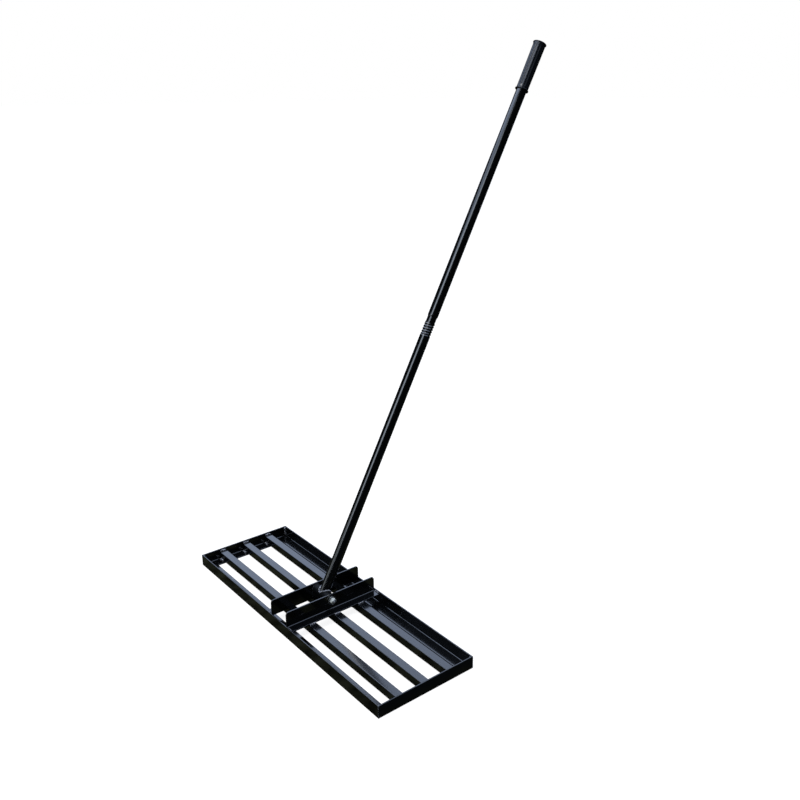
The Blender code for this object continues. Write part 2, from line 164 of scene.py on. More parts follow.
def noise(place, scale, detail=3.0):
    return place.node("TexNoise", {}, {"Vector": place, "Scale": scale, "Detail": detail})


def band(wire, low, high):
    """How far a value has come from low to high, from 0 to 1."""
    limits = {"Value": wire, "From Min": low, "From Max": high}
    return wire.node("MapRange", {}, limits)


def backdrop_share(tree):
    """How much of the white backdrop a ray sees: all from the camera, a little in gloss."""
    straight = source(tree, "LightPath", "Is Camera Ray")
    through = source(tree, "LightPath", "Is Transmission Ray")
    return straight + through + source(tree, "LightPath", "Is Glossy Ray") * backdrop_in_gloss


world = bpy.data.worlds.new("studio")
world.use_nodes = True
bpy.context.scene.world = world
tree = world.node_tree
sky_lean = (
    math.sin(sky_tilt) * math.cos(sky_turn),
    math.sin(sky_tilt) * math.sin(sky_turn),
    math.cos(sky_tilt),
)
direction = source(tree, "TexCoord", "Generated")
height = direction.node(
    "VectorMath", {"operation": "DOT_PRODUCT"}, {0: direction, 1: sky_lean}, output="Value"
)
around = mixed(band(height, *sky_edge), dark_colour, sky_colour)
shown = mixed(backdrop_share(tree), around, white)
tree.links.new(shown.socket, tree.nodes["Background"].inputs["Color"])

bpy.ops.object.select_all(action="DESELECT")
bpy.ops.mesh.primitive_plane_add(size=floor_size)
floor = bpy.context.object
floor.name = "floor"
floor_look = bpy.data.materials.new("floor")
floor_look.use_nodes = True
tree = floor_look.node_tree
seen = backdrop_share(tree)
place = source(tree, "TexCoord", "Object")
mottle = band(noise(place, ground_mottle), *mottle_range)
across = place.node("SeparateXYZ", {}, {0: place}, output="X")
# Painted shade: the floor, as the gloss sees it, turns dark past the head's right end.
right = band(across, cad_box[1][0] - ground_edge, cad_box[1][0] + ground_edge)
ground = mixed(right, mixed(mottle, *ground_colours), dark_colour)
matt = seen.node("BsdfDiffuse", {}, {"Color": mixed(seen, ground, pale)})
glow = seen.node("Emission", {}, {"Color": white, "Strength": seen * floor_glow})
surface = seen.node("AddShader", {}, {0: matt, 1: glow})
tree.links.new(surface.socket, tree.nodes["Material Output"].inputs["Surface"])
tree.nodes.remove(tree.nodes["Principled BSDF"])
floor.data.materials.append(floor_look)

for name, foot, head, width, radiance, tint in soft_boxes:
    foot, head = Vector(foot), Vector(head)
    middle = (foot + head) / 2
    rise = head - foot
    back = middle - Vector((0, 0, cad_box[1][2] / 2))
    back -= back.project(rise)
    sides = (rise.cross(back).normalized(), rise.normalized(), back.normalized())
    light_data = bpy.data.lights.new(name, "AREA")
    light_data.shape = "RECTANGLE"
    light_data.size = width
    light_data.size_y = rise.length
    light_data.energy = radiance * math.pi * width * rise.length
    light_data.color = tint
    light = bpy.data.objects.new(name, light_data)
    light.location = middle
    light.rotation_euler = Matrix(sides).transposed().to_euler()
    light.visible_camera = False
    bpy.context.scene.collection.objects.link(light)


# Rails
# Four lengths of hot-rolled 30 mm angle iron, walls outside and flanges inwards, mitred at the
# corners. Like all the steel of the rake they are sprayed with gloss black paint, which lies
# slightly dimpled and has settled dust in it.

rail_height = 0.030
rail_flange = 0.030
rail_wall = 0.003
root_radius = 0.002
root_steps = 6
toe_radius = 0.0010
toe_steps = 3
mitre_gap = 0.0001
aligned = 0.9
smooth_below = math.radians(40)
paint_colours = ((0.0005, 0.0006, 0.0008, 1), (0.0012, 0.0014, 0.0018, 1))
paint_dust = (0.050, 0.049, 0.046, 1)
paint_cloud = 14
paint_streak = 60
streak_range = (0.45, 0.65)
paint_speck = 1900
speck_range = (0.70, 0.80)
paint_dimple = 300
paint_wave = 90
dimple_strength = 0.004
dimple_depth = 0.002

head_low = Vector((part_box("left_end_rail")[0].x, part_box("front_rail")[0].y, 0))
head_high = Vector((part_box("right_end_rail")[1].x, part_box("rear_rail")[1].y, rail_height))
head_middle = Vector((0, (head_low.y + head_high.y) / 2, 0))
head_length = head_high.x - head_low.x
head_depth = head_high.y - head_low.y


def principled(name):
    """A new material, its shader, and the wire of the object's own coordinates."""
    look = bpy.data.materials.new(name)
    look.use_nodes = True
    shader = look.node_tree.nodes["Principled BSDF"]
    return look, shader, source(look.node_tree, "TexCoord", "Object")


def dented(height, strength, depth):
    """The normal of a surface that follows small heights."""
    return height.node("Bump", {}, {"Height": height, "Strength": strength, "Distance": depth})


def feed(shader, **inputs):
    """Gives the shader's inputs wires or numbers. An underscore in a name stands for a space."""
    for name, value in inputs.items():
        socket = shader.inputs[name.replace("_", " ")]
        if isinstance(value, Wire):
            shader.id_data.links.new(value.socket, socket)
        else:
            socket.default_value = value


black_paint, shader, place = principled("black_paint")
cloud = noise(place, paint_cloud)
speck = band(noise(place, paint_speck, 1), *speck_range)
dust = speck * band(noise(place, paint_streak, 6), *streak_range)
dimple = noise(place, paint_dimple, 1) * 0.6 + noise(place, paint_wave, 2)
feed(
    shader,
    Base_Color=mixed(dust * 0.2, mixed(cloud, *paint_colours), paint_dust),
    Roughness=0.12 + cloud * 0.10 + dust * 0.4,
    Coat_Weight=1 - dust * 0.8,
    Coat_Roughness=0.08,
    Normal=dented(dimple, dimple_strength, dimple_depth),
)


def named(name):
    """Names the piece that was just added, and puts its place, turn and size into its mesh."""
    piece = bpy.context.object
    piece.name = name
    piece.data.name = name
    bpy.ops.object.transform_apply(location=True, rotation=True, scale=True)
    return piece


def add_block(name, low, high):
    """A block between its lowest and its highest corner."""
    low, high = Vector(low), Vector(high)
    bpy.ops.object.select_all(action="DESELECT")
    bpy.ops.mesh.primitive_cube_add(size=1, location=(low + high) / 2, scale=high - low)
    return named(name)


def choose(piece):
    """Makes a piece the only one that operators act on."""
    bpy.ops.object.select_all(action="DESELECT")
    piece.select_set(True)
    bpy.context.view_layer.objects.active = piece


def pick_faces(test):
    """Selects the faces of the edited piece whose middle and normal pass a test."""
    mesh = bmesh.from_edit_mesh(bpy.context.object.data)
    bpy.ops.mesh.select_mode(type="FACE")
    bpy.ops.mesh.select_all(action="DESELECT")
    for face in mesh.faces:
        face.select_set(test(face.calc_center_median(), face.normal))


def pick_edges(test):
    """Selects the edges of the edited piece whose middle and direction pass a test."""
    mesh = bmesh.from_edit_mesh(bpy.context.object.data)
    bpy.ops.mesh.select_mode(type="EDGE")
    bpy.ops.mesh.select_all(action="DESELECT")
    for edge in mesh.edges:
        first, second = (vert.co for vert in edge.verts)
        edge.select_set(test((first + second) / 2, (second - first).normalized()))


def round_edges(radius, steps, test):
    """Rounds the edges of the edited piece that pass a test."""
    pick_edges(test)
    bpy.ops.mesh.bevel(offset=radius, segments=steps, affect="EDGES")


def finish_with(piece, kind, **settings):
    """Adds a modifier to a piece and applies it."""
    choose(piece)
    step = piece.modifiers.new(kind, kind)
    for name, value in settings.items():
        setattr(step, name, value)
    bpy.ops.object.modifier_apply(modifier=step.name)


def smooth(piece):
    """Leaves edit mode, and shades the piece smooth up to its sharp edges, flat faces flat."""
    if bpy.context.mode != "OBJECT":
        bpy.ops.object.mode_set(mode="OBJECT")
    choose(piece)
    bpy.ops.object.shade_smooth_by_angle(angle=smooth_below)
    finish_with(piece, "WEIGHTED_NORMAL", keep_sharp=True, weight=100)


def copied(piece, name, change):
    """A copy of a piece, with its own mesh, changed by a matrix."""
    twin = piece.copy()
    twin.data = piece.data.copy()
    twin.name = name
    twin.data.name = name
    bpy.context.scene.collection.objects.link(twin)
    twin.data.transform(change)
    if change.is_negative:
        twin.data.flip_normals()
        smooth(twin)
    return twin


def about_head(turn):
    """A turn about the upright line through the head's middle."""
    there = Matrix.Translation(head_middle)
    return there @ Matrix.Rotation(turn, 4, "Z") @ there.inverted()


def fit(piece, look, slot, body, *nodes):
    """Gives a finished piece its material and its body, and hides the nodes it stands for."""
    piece.data.materials.clear()
    piece.data.materials.append(look)
    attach(piece, body)
    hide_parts(*nodes)


def make_rail(name, length, depth):
    """A rail along the front edge of a frame of some length and depth."""
    end = length / 2
    front = head_middle.y - depth / 2
    rail = add_block(name, (-end, front, 0), (end, front + rail_flange, rail_wall))
    bpy.ops.object.mode_set(mode="EDIT")
    bpy.ops.mesh.bisect(plane_co=(0, front + rail_wall, 0), plane_no=(0, 1, 0))
    pick_faces(lambda middle, normal: normal.z > aligned and middle.y < front + rail_wall)
    rise = {"value": (0, 0, rail_height - rail_wall)}
    bpy.ops.mesh.extrude_region_move(TRANSFORM_OT_translate=rise)
    for side in (-1, 1):
        corner = (side * (end - mitre_gap), front, 0)
        bpy.ops.mesh.select_all(action="SELECT")
        bpy.ops.mesh.bisect(
            plane_co=corner, plane_no=(side, 1, 0), use_fill=True, clear_outer=True
        )

    def is_root(middle):
        return abs(middle.y - front - rail_wall) < toe_radius and middle.z < 2 * rail_wall

    def is_long(run):
        return abs(run.x) > aligned

    round_edges(root_radius, root_steps, lambda middle, run: is_long(run) and is_root(middle))
    sharp = (front, front + rail_flange)

    def is_toe(middle):
        low_edge = middle.z < toe_radius and min(abs(middle.y - y) for y in sharp) < toe_radius
        flange_top = abs(middle.y - sharp[1]) < toe_radius
        return low_edge or flange_top or middle.z > rail_height - toe_radius

    round_edges(toe_radius, toe_steps, lambda middle, run: is_long(run) and is_toe(middle))
    smooth(rail)
    return rail


front_rail = make_rail("front_rail_iron", head_length, head_depth)
rear_rail = copied(front_rail, "rear_rail_iron", about_head(math.pi))
right_rail = make_rail("right_rail_iron", head_depth, head_length)
right_rail.data.transform(about_head(math.pi / 2))
left_rail = copied(right_rail, "left_rail_iron", about_head(math.pi))
fit(front_rail, black_paint, "black_paint", "head", "front_rail")
fit(rear_rail, black_paint, "black_paint", "head", "rear_rail")
fit(right_rail, black_paint, "black_paint", "head", "right_end_rail")
fit(left_rail, black_paint, "black_paint", "head", "left_end_rail")


# Slats
# Three square steel tubes along the head, which level the soil. Each is cut square and left open
# at its ends, and is welded down where it lies on the end rails' flanges.

slat_wall = 0.0015
slat_corner = 0.002
slat_corner_steps = 4
slat_end_gap = 0.0008
seat = 0.00005

slat_low, slat_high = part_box("front_slat")
slat_low.x = head_low.x + rail_wall + slat_end_gap
slat_high.x = head_high.x - rail_wall - slat_end_gap
slat_low.z = rail_wall + seat

front_slat = add_block("front_slat_tube", slat_low, slat_high)
bpy.ops.object.mode_set(mode="EDIT")
pick_faces(lambda middle, normal: abs(normal.x) > aligned)
bpy.ops.mesh.delete(type="FACE")
round_edges(slat_corner, slat_corner_steps, lambda middle, run: abs(run.x) > aligned)
bpy.ops.object.mode_set(mode="OBJECT")
finish_with(front_slat, "SOLIDIFY", thickness=slat_wall, offset=-1, use_even_offset=True)
smooth(front_slat)
slats = {"front_slat": front_slat}
for node in ("middle_slat", "rear_slat"):
    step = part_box(node)[0].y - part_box("front_slat")[0].y
    slats[node] = copied(front_slat, node + "_tube", Matrix.Translation((0, step, 0)))
for node, slat in slats.items():
    fit(slat, black_paint, "black_paint", "head", node)


# Brackets
# Two angle irons, welded across the slats with their webs standing up beside the handle. The
# webs' ends are rounded off, and one bolt goes through both.

bracket_wall = 0.003
bracket_toe = 0.0006
bracket_corner = 0.008
bracket_corner_steps = 12
hole_clearance = 0.0005
bolt_radius = 0.004

pivot = Vector(frame["joints"][0]["pos_m"])
bracket_low, bracket_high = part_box("right_bracket")
bracket_low.z = slat_high.z + seat


def add_rod(name, radius, start, end, sides=48):
    """A cylinder along X at the pivot's height."""
    middle = pivot + Vector(((start + end) / 2, 0, 0))
    bpy.ops.object.select_all(action="DESELECT")
    bpy.ops.mesh.primitive_cylinder_add(
        vertices=sides, radius=radius, depth=end - start, location=middle,
        rotation=(0, math.pi / 2, 0),
    )
    return named(name)


def carve(piece, tool, operation="DIFFERENCE"):
    """Cuts a piece with another, which is then thrown away."""
    finish_with(piece, "BOOLEAN", operation=operation, solver="EXACT", object=tool)
    bpy.data.objects.remove(tool)


flange_top = (bracket_high.x, bracket_high.y, bracket_low.z + bracket_wall)
right_bracket = add_block("right_bracket_iron", bracket_low, flange_top)
bpy.ops.object.mode_set(mode="EDIT")
web_face = bracket_low.x + bracket_wall
bpy.ops.mesh.bisect(plane_co=(web_face, 0, 0), plane_no=(1, 0, 0))
pick_faces(lambda middle, normal: normal.z > aligned and middle.x < web_face)
rise = {"value": (0, 0, bracket_high.z - flange_top[2])}
bpy.ops.mesh.extrude_region_move(TRANSFORM_OT_translate=rise)


def is_bracket_corner(middle, run):
    return abs(run.x) > aligned and middle.z > bracket_high.z - bracket_toe


def is_bracket_root(middle, run):
    at_web = abs(middle.x - web_face) < bracket_toe
    return abs(run.y) > aligned and at_web and middle.z < bracket_low.z + 2 * bracket_wall


def is_bracket_toe(middle, run):
    """The flange's outer edges, and the web's edges round its whole outline."""
    outer_flange = abs(run.y) > aligned and middle.x > bracket_high.x - bracket_toe
    heel = abs(run.y) > aligned and middle.z < bracket_low.z + bracket_toe
    above = middle.z > flange_top[2] + root_radius + bracket_toe
    on_face = min(abs(middle.x - bracket_low.x), abs(middle.x - web_face)) < bracket_toe / 10
    return outer_flange or heel or (above and on_face and abs(run.x) < 1 - aligned)


round_edges(bracket_corner, bracket_corner_steps, is_bracket_corner)
round_edges(root_radius, root_steps, is_bracket_root)
round_edges(bracket_toe, toe_steps, is_bracket_toe)
bpy.ops.object.mode_set(mode="OBJECT")
hole = add_rod("hole", bolt_radius + hole_clearance, 0, 2 * bracket_low.x)
carve(right_bracket, hole)
smooth(right_bracket)
mirror = Matrix.Scale(-1, 4, (1, 0, 0))
left_bracket = copied(right_bracket, "left_bracket_iron", mirror)
fit(right_bracket, black_paint, "black_paint", "head", "right_bracket")
fit(left_bracket, black_paint, "black_paint", "head", "left_bracket")


# Weld beads
# Short runs of steel weld metal, laid by hand one drop over the next, which hold the rails, the
# slats and the brackets together. Their black paint carries light grey metallic patches at random,
# which are painted glints.

bead_step = 0.0016
bead_voxel = 0.00028
bead_sink = 0.0001
bead_round = 0.55
drop_sides = 20
drop_rings = 12
drop_sizes = (0.68, 0.80)
drop_wander = 0.06
drop_lift = 0.20
corner_leg = 0.0040
corner_margin = 0.0020
slat_leg = 0.0040
slat_margin = 0.0040
foot_leg = 0.0036
foot_run = 0.011
bracket_leg = 0.0030
bracket_margin = 0.0035
bracket_end_leg = 0.0030
seam_radius = 0.0016
seam_sink = 0.0009
free_drop_sizes = (0.8, 1.1)
bead_glint_colour = (0.30, 0.30, 0.32, 1)
glint_scale = 420
glint_range = (0.46, 0.58)
pit_scale = 1500
pit_strength = 0.12
pit_depth = 0.0004

welder = random.Random(41)

bead_paint, shader, place = principled("bead_paint")
# Light grey metallic patches at random: painted glints on the black-painted beads.
patch = band(noise(place, glint_scale, 2), *glint_range)
feed(
    shader,
    Base_Color=mixed(patch, paint_colours[1], bead_glint_colour),
    Metallic=patch * 0.4,
    Roughness=0.30 + patch * 0.15,
    Coat_Weight=0.5,
    Coat_Roughness=0.15,
    Normal=dented(noise(place, pit_scale, 3), pit_strength, pit_depth),
)


def lay_drops(name, places, radii, run):
    """Squashed drops of weld metal, set across the run and melted into one skin."""
    turn = run.to_track_quat("Z", "Y").to_euler()
    bpy.ops.object.select_all(action="DESELECT")
    for place, radius in zip(places, radii):
        bpy.ops.mesh.primitive_uv_sphere_add(
            segments=drop_sides, ring_count=drop_rings, radius=radius, location=place,
            rotation=turn, scale=(1, 1, bead_round),
        )
        if bpy.context.mode == "OBJECT":
            bead = named(name)
            bpy.ops.object.mode_set(mode="EDIT")
    bpy.ops.object.mode_set(mode="OBJECT")
    finish_with(bead, "REMESH", mode="VOXEL", voxel_size=bead_voxel)
    return bead


def lay_bead(name, start, end, faces, leg):
    """A bead in the corner between two faces, cut flush with both."""
    start, end = Vector(start), Vector(end)
    run = end - start
    out = sum((Vector(face) for face in faces), Vector())
    count = max(2, round(run.length / bead_step))
    places = []
    radii = []
    for step in range(count + 1):
        radii.append(leg * welder.uniform(*drop_sizes))
        wander = Vector(faces[0]) * leg * welder.uniform(-drop_wander, drop_wander)
        places.append(start + run * (step / count) + out * leg * drop_lift + wander)
    bead = lay_drops(name, places, radii, run)
    bpy.ops.object.mode_set(mode="EDIT")
    for face in faces:
        bpy.ops.mesh.select_all(action="SELECT")
        bpy.ops.mesh.bisect(
            plane_co=start - Vector(face) * bead_sink, plane_no=-Vector(face),
            use_fill=True, clear_outer=True,
        )
    smooth(bead)
    return bead


def fit_bead(bead, *nodes):
    fit(bead, bead_paint, "black_paint", "head", *nodes)


ends = {"left": -1, "right": 1}
rows = {"front": -1, "rear": 1}
inner_x = head_high.x - rail_wall
inner_y = head_depth / 2 - rail_wall
for row, toward in rows.items():
    for end, side in ends.items():
        corner = Vector((side * inner_x, head_middle.y + toward * inner_y, 0))
        low = corner + Vector((0, 0, rail_wall + root_radius + corner_margin))
        high = corner + Vector((0, 0, rail_height - corner_margin - corner_leg / 3))
        faces = ((-side, 0, 0), (0, -toward, 0))
        bead = lay_bead(f"{row}_{end}_corner_bead", low, high, faces, corner_leg)
        fit_bead(bead, f"{row}_{end}_corner_weld")

        edge = head_middle + Vector((side * head_length / 2, toward * head_depth / 2, 0))
        inwards = Vector((-side, -toward, 0)) * seam_sink
        count = round((rail_height - 2 * seam_radius) / bead_step)
        places = []
        radii = []
        for step in range(count + 1):
            radii.append(seam_radius * welder.uniform(*free_drop_sizes))
            rise = seam_radius + (rail_height - 2 * seam_radius) * step / count
            places.append(edge + inwards + Vector((0, 0, rise)))
        seam = lay_drops(f"{row}_{end}_corner_seam", places, radii, Vector((0, 0, 1)))
        smooth(seam)
        fit(seam, black_paint, "black_paint", "head")

for node, slat in slats.items():
    low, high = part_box(node)
    for end, side in ends.items():
        wall = side * inner_x
        start = (wall, low.y + slat_margin, high.z)
        stop = (wall, high.y - slat_margin, high.z)
        faces = ((-side, 0, 0), (0, 0, 1))
        bead = lay_bead(f"{node}_{end}_bead", start, stop, faces, slat_leg)
        fit_bead(bead, f"{node}_{end}_weld")
        for foot, edge, outward in (("front", low.y, -1), ("rear", high.y, 1)):
            start = (wall - side * (root_radius + foot_leg), edge, rail_wall)
            stop = (wall - side * (root_radius + foot_leg + foot_run), edge, rail_wall)
            faces = ((0, outward, 0), (0, 0, 1))
            bead = lay_bead(f"{node}_{end}_{foot}_foot_bead", start, stop, faces, foot_leg)
            fit_bead(bead)

for end, side in ends.items():
    edge = side * bracket_high.x
    for node in slats:
        low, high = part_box(node)
        start = (edge, low.y + bracket_margin, high.z)
        stop = (edge, high.y - bracket_margin, high.z)
        faces = ((side, 0, 0), (0, 0, 1))
        bead = lay_bead(f"{end}_bracket_{node}_bead", start, stop, faces, bracket_leg)
        fit_bead(bead, f"{end}_bracket_{node.split('_')[0]}_weld")
    for row, toward in rows.items():
        wall = head_middle.y + toward * inner_y
        start = (side * (web_face + root_radius + bracket_end_leg), wall, flange_top[2])
        stop = (edge - side * bracket_end_leg, wall, flange_top[2])
        faces = ((0, -toward, 0), (0, 0, 1))
        bead = lay_bead(f"{end}_bracket_{row}_end_bead", start, stop, faces, bracket_end_leg)
        fit_bead(bead)


# Pivot bolt
# A zinc-plated M8 hexagon bolt, forged from steel and with a rolled thread. It goes through both
# brackets, both washers and the sleeve between them, with its head on the left.

hexagon_flats = 0.013
hexagon_rim = 0.0003
chamfer_slope = math.radians(60)
chamfer_sides = 96
shank_sides = 40
bolt_pitch = 0.00125
bolt_thread_depth = 0.0006
bolt_thread_rows = 10
bolt_tip = 0.0008
bolt_thread_start = 0.0340
zinc_colours = ((0.13, 0.135, 0.14, 1), (0.24, 0.245, 0.25, 1))
zinc_patch = 420
zinc_grain = 2600
grain_strength = 0.06
grain_depth = 0.0002

bolt_low, bolt_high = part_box("pivot_bolt")
clamp_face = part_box("pivot_nut")[0].x
hexagon_corner = hexagon_flats / math.sqrt(3)

zinc, shader, place = principled("zinc")
patch = noise(place, zinc_patch, 4)
feed(
    shader,
    Base_Color=mixed(patch, *zinc_colours),
    Roughness=0.14 + patch * 0.08,
    Metallic=0.95 - patch * 0.1,
    Normal=dented(noise(place, zinc_grain, 2), grain_strength, grain_depth),
)


def chamfer(piece, face, inside):
    """Turns the corners off a hexagon, from one of its faces towards the inside."""
    length = abs(inside - face)
    small = hexagon_flats / 2 - hexagon_rim
    large = small + length * math.tan(chamfer_slope)
    facing = math.copysign(math.pi / 2, face - inside)
    middle = pivot + Vector(((face + inside) / 2, 0, 0))
    bpy.ops.object.select_all(action="DESELECT")
    bpy.ops.mesh.primitive_cone_add(
        vertices=chamfer_sides, radius1=large, radius2=small, depth=length, location=middle,
        rotation=(0, facing, 0),
    )
    carve(piece, named("cone"), "INTERSECT")


def add_turned(name, sides, rows):
    """A piece turned about X at the pivot, grown ring by ring through rows of x and radius."""
    x, radius = rows[0]
    bpy.ops.object.select_all(action="DESELECT")
    bpy.ops.mesh.primitive_circle_add(
        vertices=sides, radius=radius, location=pivot + Vector((x, 0, 0)),
        rotation=(0, math.pi / 2, 0),
    )
    piece = named(name)
    bpy.ops.object.mode_set(mode="EDIT")
    bpy.ops.mesh.select_all(action="SELECT")
    for next_x, next_radius in rows[1:]:
        bpy.ops.mesh.extrude_region_move(TRANSFORM_OT_translate={"value": (next_x - x, 0, 0)})
        size = next_radius / radius
        centre = pivot + Vector((next_x, 0, 0))
        bpy.ops.transform.resize(value=(1, size, size), center_override=centre)
        x, radius = next_x, next_radius
    return piece


def close_turned(piece, as_ring):
    """Closes a turned piece: its last ring to its first, or each with a flat end."""
    bpy.ops.mesh.select_mode(type="EDGE")
    bpy.ops.mesh.select_all(action="DESELECT")
    bpy.ops.mesh.select_non_manifold()
    if as_ring:
        bpy.ops.mesh.bridge_edge_loops()
    else:
        bpy.ops.mesh.fill_holes(sides=0)
    bpy.ops.mesh.select_all(action="SELECT")
    bpy.ops.mesh.normals_make_consistent(inside=False)
    smooth(piece)


head_inner = -clamp_face
bolt = add_rod("hexagon_bolt", hexagon_corner, bolt_low.x, head_inner, sides=6)
chamfer(bolt, bolt_low.x, head_inner)
shank_rows = [(head_inner - bolt_tip, bolt_radius), (bolt_thread_start, bolt_radius)]
thread_length = bolt_high.x - bolt_tip - bolt_thread_start
row_count = round(thread_length / bolt_pitch * bolt_thread_rows)
for row in range(1, row_count + 1):
    shank_rows.append((bolt_thread_start + thread_length * row / row_count, bolt_radius))
shank_rows.append((bolt_high.x, bolt_radius - bolt_tip))
shank = add_turned("shank", shank_sides, shank_rows)
close_turned(shank, False)
for vert in shank.data.vertices:
    along = vert.co.x - bolt_thread_start
    across = Vector((0, vert.co.y - pivot.y, vert.co.z - pivot.z))
    if 0 < along < thread_length + bolt_tip and across.length > bolt_radius / 2:
        turn = math.atan2(across.z, across.y) / (2 * math.pi)
        depth = 2 * abs((along / bolt_pitch + turn) % 1 - 0.5) * bolt_thread_depth
        vert.co -= across.normalized() * depth
carve(bolt, shank, "UNION")
smooth(bolt)
fit(bolt, zinc, "zinc", "head", "pivot_bolt")


# Lock nut
# A zinc-plated steel hexagon nut with a round collar, which is rolled over a ring of dark nylon.
# The ring grips the bolt's thread, so that the joint keeps its play and never shakes loose.

collar_radius = 0.0059
collar_height = 0.0015
collar_round = 0.0008
collar_lip = 0.0009
collar_sides = 64
collar_rows = ((1, 0), (0.4, 0.12), (0.1, 0.5), (0, 1))
nut_clearance = 0.0002
cut_past = 0.001
ring_depth = 0.0009
ring_sink = 0.0003
ring_gap = 0.0001
ring_sides = 48
nut_colours = ((0.74, 0.75, 0.68, 1), (0.88, 0.89, 0.81, 1))
nut_patch = 500
nylon_colours = ((0.022, 0.022, 0.024, 1), (0.040, 0.040, 0.042, 1))
nylon_cloud = 300
nylon_strength = 0.1
nylon_depth = 0.0003

bright_zinc, shader, place = principled("bright_zinc")
patch = noise(place, nut_patch, 3)
feed(
    shader,
    Base_Color=mixed(patch, *nut_colours),
    Roughness=0.36 + patch * 0.16,
    Metallic=0.75 - patch * 0.3,
    Normal=dented(noise(place, zinc_grain, 2), grain_strength, grain_depth),
)

nut_low, nut_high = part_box("pivot_nut")
shelf = nut_high.x - collar_height
nut = add_rod("lock_nut", hexagon_corner, nut_low.x, shelf, sides=6)
chamfer(nut, nut_low.x, shelf)
chamfer(nut, shelf, nut_low.x)
rows = [(shelf - collar_round, collar_radius)]
for back, off in collar_rows:
    rows.append((nut_high.x - collar_round * back, collar_radius - collar_round * off))
collar = add_turned("collar", collar_sides, rows)
close_turned(collar, False)
carve(nut, collar, "UNION")
cut_end = nut_high.x + cut_past
carve(nut, add_rod("bore", bolt_radius + nut_clearance, nut_low.x - cut_past, cut_end))
carve(nut, add_rod("recess", collar_radius - collar_lip, shelf - cut_past, cut_end))
smooth(nut)
fit(nut, bright_zinc, "zinc", "head", "pivot_nut")

nylon, shader, place = principled("nylon")
cloud = noise(place, nylon_cloud, 3)
feed(
    shader,
    Base_Color=mixed(cloud, *nylon_colours),
    Roughness=0.42 + cloud * 0.15,
    Normal=dented(cloud, nylon_strength, nylon_depth),
)

ring_inner = bolt_radius + ring_gap
ring_outer = collar_radius - collar_lip - ring_gap
nylon_ring = add_turned("nylon_ring", ring_sides, [
    (shelf - ring_depth, ring_inner),
    (shelf - ring_depth, ring_outer),
    (nut_high.x - ring_sink, ring_outer),
    (nut_high.x - ring_sink, ring_inner),
])
close_turned(nylon_ring, True)
fit(nylon_ring, nylon, "nylon", "head")


# Washers
# Two zinc-plated steel washers, stamped from sheet, under the bolt's head and the nut. The
# punch leaves one edge of each soft and the other sharp.

washer_bore = 0.0045
washer_round = 0.0004
washer_burr = 0.0001
washer_turn = 0.3
washer_sides = 64

for node, name, side in (("head_washer", "left_washer", -1), ("nut_washer", "right_washer", 1)):
    low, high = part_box(node)
    radius = (high.z - low.z) / 2
    inner, outer = (low.x, high.x) if side > 0 else (high.x, low.x)
    washer = add_turned(name, washer_sides, [
        (inner, washer_bore),
        (inner, radius - washer_burr),
        (inner + side * washer_burr, radius),
        (outer - side * washer_round, radius),
        (outer - side * washer_round * washer_turn, radius - washer_round * washer_turn),
        (outer, radius - washer_round),
        (outer, washer_bore),
    ])
    close_turned(washer, True)
    fit(washer, zinc, "zinc", "head", node)


# Sleeve and bushes
# A short steel tube between the brackets, painted matt black, which the handle is welded to. A
# flanged bush of moulded nylon, pressed into each of its ends, runs on the bolt.

sleeve_wall = 0.002
sleeve_chamfer = 0.0004
sleeve_sides = 96
bush_flange = 0.0015
bush_bore = 0.0043
bush_round = 0.0003
bush_gap = 0.0003
bush_sides = 64
sleeve_cloud = 160
sleeve_grain = 1400
sleeve_strength = 0.1
sleeve_grain_depth = 0.0003

matt_black, shader, place = principled("matt_black")
cloud = noise(place, sleeve_cloud, 4)
feed(
    shader,
    Base_Color=mixed(cloud, *paint_colours),
    Roughness=0.42 + cloud * 0.15,
    Specular_IOR_Level=0.15,
    Normal=dented(noise(place, sleeve_grain, 3), sleeve_strength, sleeve_grain_depth),
)

sleeve_low, sleeve_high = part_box("pivot_sleeve")
sleeve_radius = (sleeve_high.z - sleeve_low.z) / 2
sleeve_bore = sleeve_radius - sleeve_wall
sleeve = add_turned("cross_sleeve", sleeve_sides, [
    (sleeve_low.x, sleeve_bore),
    (sleeve_low.x, sleeve_radius - sleeve_chamfer),
    (sleeve_low.x + sleeve_chamfer, sleeve_radius),
    (sleeve_high.x - sleeve_chamfer, sleeve_radius),
    (sleeve_high.x, sleeve_radius - sleeve_chamfer),
    (sleeve_high.x, sleeve_bore),
])
close_turned(sleeve, True)
fit(sleeve, matt_black, "black_paint", "handle", "pivot_sleeve")

for end, side in ends.items():
    low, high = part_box(end + "_bush")
    outer, inner = (low.x, high.x) if side < 0 else (high.x, low.x)
    bush = add_turned(end + "_bushing", bush_sides, [
        (outer, bush_bore),
        (outer, sleeve_radius - bush_round),
        (outer - side * bush_round, sleeve_radius),
        (outer - side * bush_flange, sleeve_radius),
        (outer - side * bush_flange, sleeve_bore - bush_gap),
        (inner, sleeve_bore - bush_gap),
        (inner, bush_bore),
    ])
    close_turned(bush, True)
    fit(bush, nylon, "nylon", "handle", end + "_bush")


# Lower tube
# The lower half of the handle, a thin-walled steel tube, painted like the head. Its foot is cut
# to the round of the sleeve, and a coarse thread is rolled into its top.

handle_lean = math.radians(28.44)
tube_radius = 0.0125
tube_wall = 0.001
foot_gap = 0.0001
foot_ring = 0.004
lower_plain = 0.6545
thread_pitch = 0.0062
thread_turns = 5.4
thread_depth = 0.0015
thread_steps = 12
tube_sides = 96

lower_end = lower_plain + thread_turns * thread_pitch
handle_frame = Matrix.Translation(pivot) @ Matrix.Rotation(-handle_lean, 4, "X")


